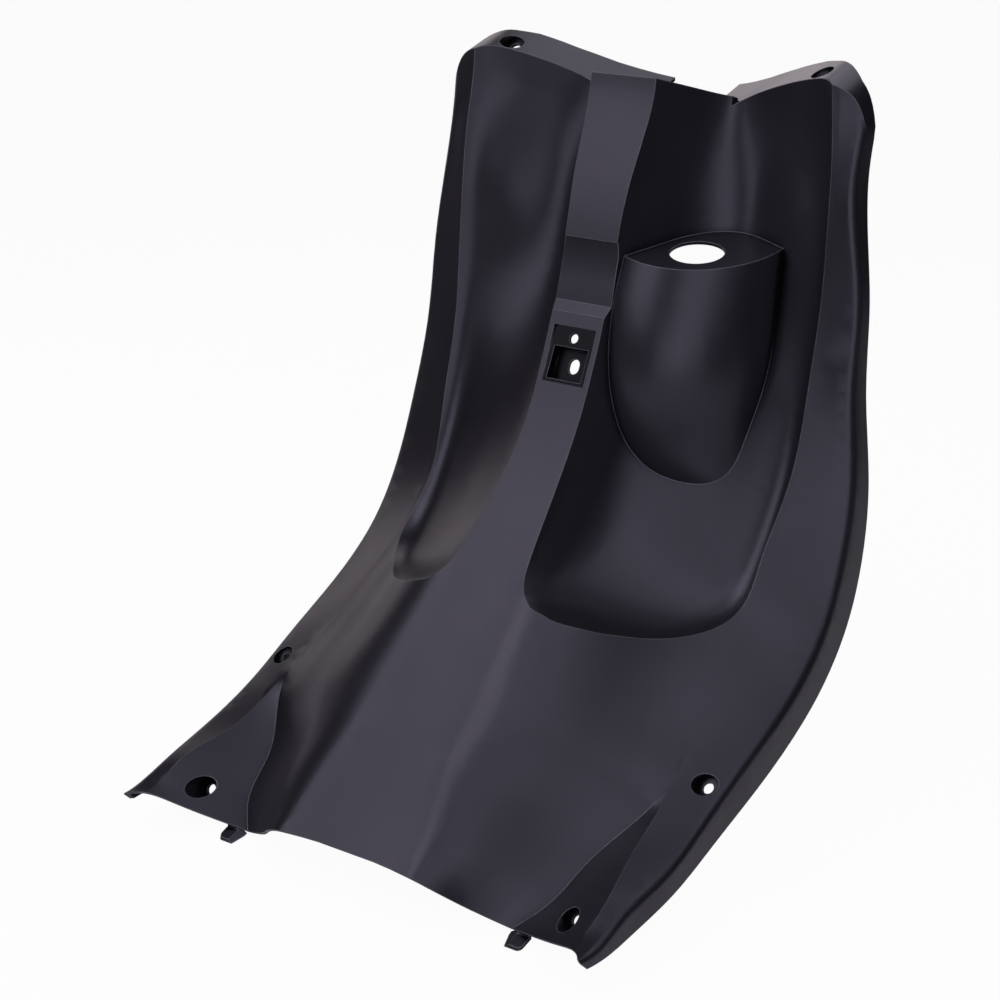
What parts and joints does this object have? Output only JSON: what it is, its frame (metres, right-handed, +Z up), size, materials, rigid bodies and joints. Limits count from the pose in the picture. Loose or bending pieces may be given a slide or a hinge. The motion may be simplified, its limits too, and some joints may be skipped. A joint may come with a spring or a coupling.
{
  "type": "scooter inner leg shield",
  "caption": "Moulded inner leg shield for a step-through scooter, with steering column spine, knee pockets, a pod with a round opening and a swept foot apron.",
  "frame": {"origin": "middle of the bounding box in plan, at the height of the lowest point of the foot apron", "axes": "+Z up as the shield stands on the scooter, -Y towards the rider, +X to the rider's right. The mirror plane of the main form is X = 0."},
  "size_m": [0.408, 0.457, 0.5282],
  "materials": {
    "shell": "satin moulded black, fine grain"
  },
  "bodies": {
    "root": {"leg_shield": "shell"}
  },
  "joints": []
}
